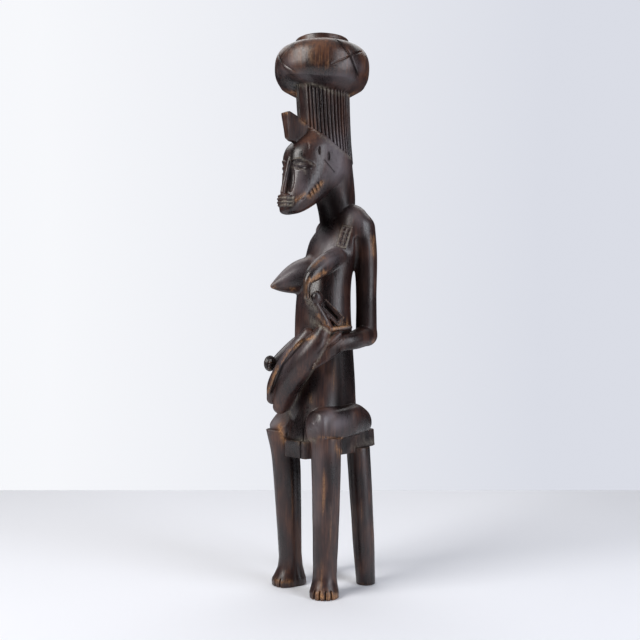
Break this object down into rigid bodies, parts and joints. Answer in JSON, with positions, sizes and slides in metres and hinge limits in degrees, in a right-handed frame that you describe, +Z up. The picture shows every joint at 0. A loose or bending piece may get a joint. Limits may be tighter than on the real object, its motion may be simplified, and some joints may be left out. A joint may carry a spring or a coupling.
{
  "type": "carved maternity figure",
  "caption": "One-piece dark wood carving of a seated woman nursing a child, with a fluted column hairdress carrying a round pot; stands on her feet and the stool's rear legs",
  "frame": {"origin": "on the floor, under the middle of the figure's bounding box", "axes": "+Z up from the feet to the pot's rim, the woman faces -Y, her left side is +X"},
  "size_m": [0.135, 0.15, 0.775],
  "materials": {
    "wood": "old dark brown patina with a dull polish, worn to orange brown on edges, knees and toes, grey dust in the recesses"
  },
  "bodies": {
    "root": {"maternity_figure": "wood"}
  },
  "joints": []
}
